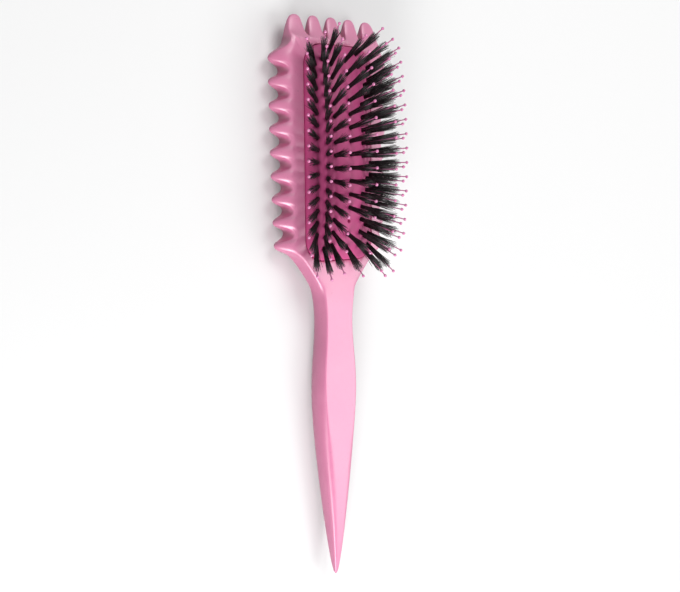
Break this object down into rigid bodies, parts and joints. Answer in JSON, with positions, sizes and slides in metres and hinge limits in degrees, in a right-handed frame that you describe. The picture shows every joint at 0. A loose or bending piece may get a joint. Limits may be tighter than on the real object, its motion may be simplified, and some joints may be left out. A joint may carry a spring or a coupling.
{
  "type": "defining styling brush",
  "caption": "Styling brush with a domed air cushion of bristle tufts and ball pins, a comb-toothed rim round the head, and a tapered pick handle.",
  "frame": {"origin": "on the flat back of the head, midway along the side teeth, on the centre line", "axes": "+Y along the brush from the handle to the top teeth, +Z out of the cushion through the bristles, +X across the head to the right when the bristles face the viewer and the handle points down"},
  "size_m": [0.0654, 0.2525, 0.0386],
  "materials": {
    "body_pink": "satin moulded plastic with fine darker specks",
    "cushion_magenta": "soft matt rubber skin",
    "bristle_black": "coarse black bristle, matt",
    "pin_rose": "glossy translucent nylon"
  },
  "bodies": {
    "root": {"brush_body": "body_pink", "cushion_pad": "cushion_magenta", "bristle_row_1": "bristle_black", "bristle_row_2": "bristle_black", "bristle_row_3": "bristle_black", "bristle_row_4_tail": "bristle_black", "bristle_row_4": "bristle_black", "bristle_row_5": "bristle_black", "bristle_row_6": "bristle_black", "bristle_row_7": "bristle_black", "pin_row_1": "pin_rose", "pin_row_2": "pin_rose", "pin_row_3": "pin_rose", "pin_row_4_tail": "pin_rose", "pin_row_4": "pin_rose", "pin_row_5": "pin_rose", "pin_row_6": "pin_rose", "pin_row_7": "pin_rose"}
  },
  "joints": []
}
